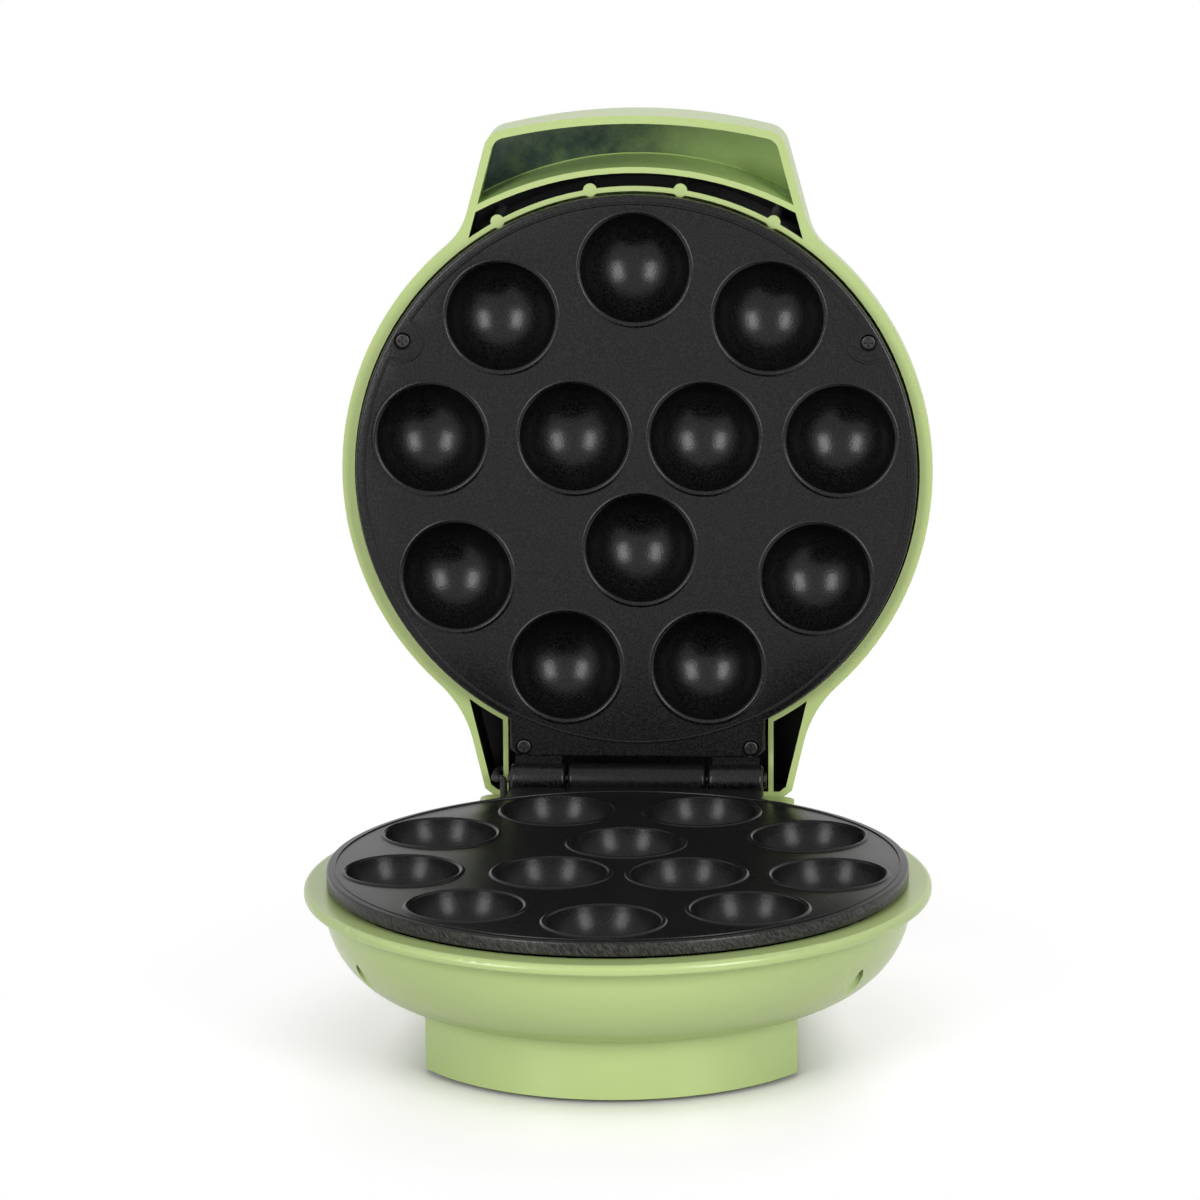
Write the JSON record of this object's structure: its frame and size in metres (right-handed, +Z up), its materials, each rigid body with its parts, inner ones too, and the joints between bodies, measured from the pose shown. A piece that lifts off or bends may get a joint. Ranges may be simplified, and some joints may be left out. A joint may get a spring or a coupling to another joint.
{
  "type": "takoyaki maker",
  "caption": "Countertop electric cooker with a round hinged lid, facing plates of half-ball wells, a shallow bowl-shaped base on a pedestal, and a hooded handle.",
  "frame": {"origin": "on the counter, under the middle of the whole cooker as it stands open; the plates' centre is 27.4 mm in front of it", "axes": "+Z up, +Y back towards the hinge and the cord entry, +X right as seen from the front; the lid stands open at rest"},
  "size_m": [0.2146, 0.2694, 0.3005],
  "materials": {
    "green_shell": "gloss",
    "green_cover": "matt",
    "nonstick_plate": "satin non-stick coating",
    "foot_rubber": "matt",
    "steel": "satin",
    "element_steel": "satin",
    "reflector_metal": "bright",
    "control_body": "matt",
    "lead_insulation": "matt",
    "lens_red": "clear tinted",
    "lens_green": "clear tinted"
  },
  "bodies": {
    "base": {"base_housing": "green_shell", "bottom_cover": "green_cover", "bottom_cover_screws": "steel", "rubber_feet": "foot_rubber", "lower_plate": "nonstick_plate", "lower_plate_screws": "steel", "lower_heating_element": "element_steel", "lower_element_clamps": "steel", "lower_clamp_screws": "steel", "lower_reflector": "reflector_metal", "lower_reflector_screws": "steel", "lower_thermostat": "control_body", "lower_thermostat_strap": "steel", "lower_thermostat_screw": "steel", "thermal_fuse": "control_body", "fuse_strap": "steel", "fuse_strap_screw": "steel", "terminal_block": "control_body", "base_leads": "lead_insulation", "lead_sleeve_base": "lead_insulation", "cord_gland": "foot_rubber", "hinge_pin": "steel", "hinge_pin_clip": "steel"},
    "lid": {"lid_housing": "green_shell", "upper_plate": "nonstick_plate", "upper_plate_screws": "steel", "upper_heating_element": "element_steel", "upper_element_clamps": "steel", "upper_clamp_screws": "steel", "upper_reflector": "reflector_metal", "upper_reflector_screws": "steel", "upper_thermostat": "control_body", "upper_thermostat_strap": "steel", "upper_thermostat_screw": "steel", "lead_sleeve_lid": "lead_insulation", "lid_leads": "lead_insulation", "power_lamp_lens": "lens_red", "ready_lamp_lens": "lens_green", "lamp_holders": "control_body"}
  },
  "joints": [
    {"name": "lid_hinge", "type": "hinge", "parent": "base", "child": "lid", "pos_m": [0, 0.08256, 0.064], "axis": [1, 0, 0], "range_deg": [0, 92.4]}
  ]
}
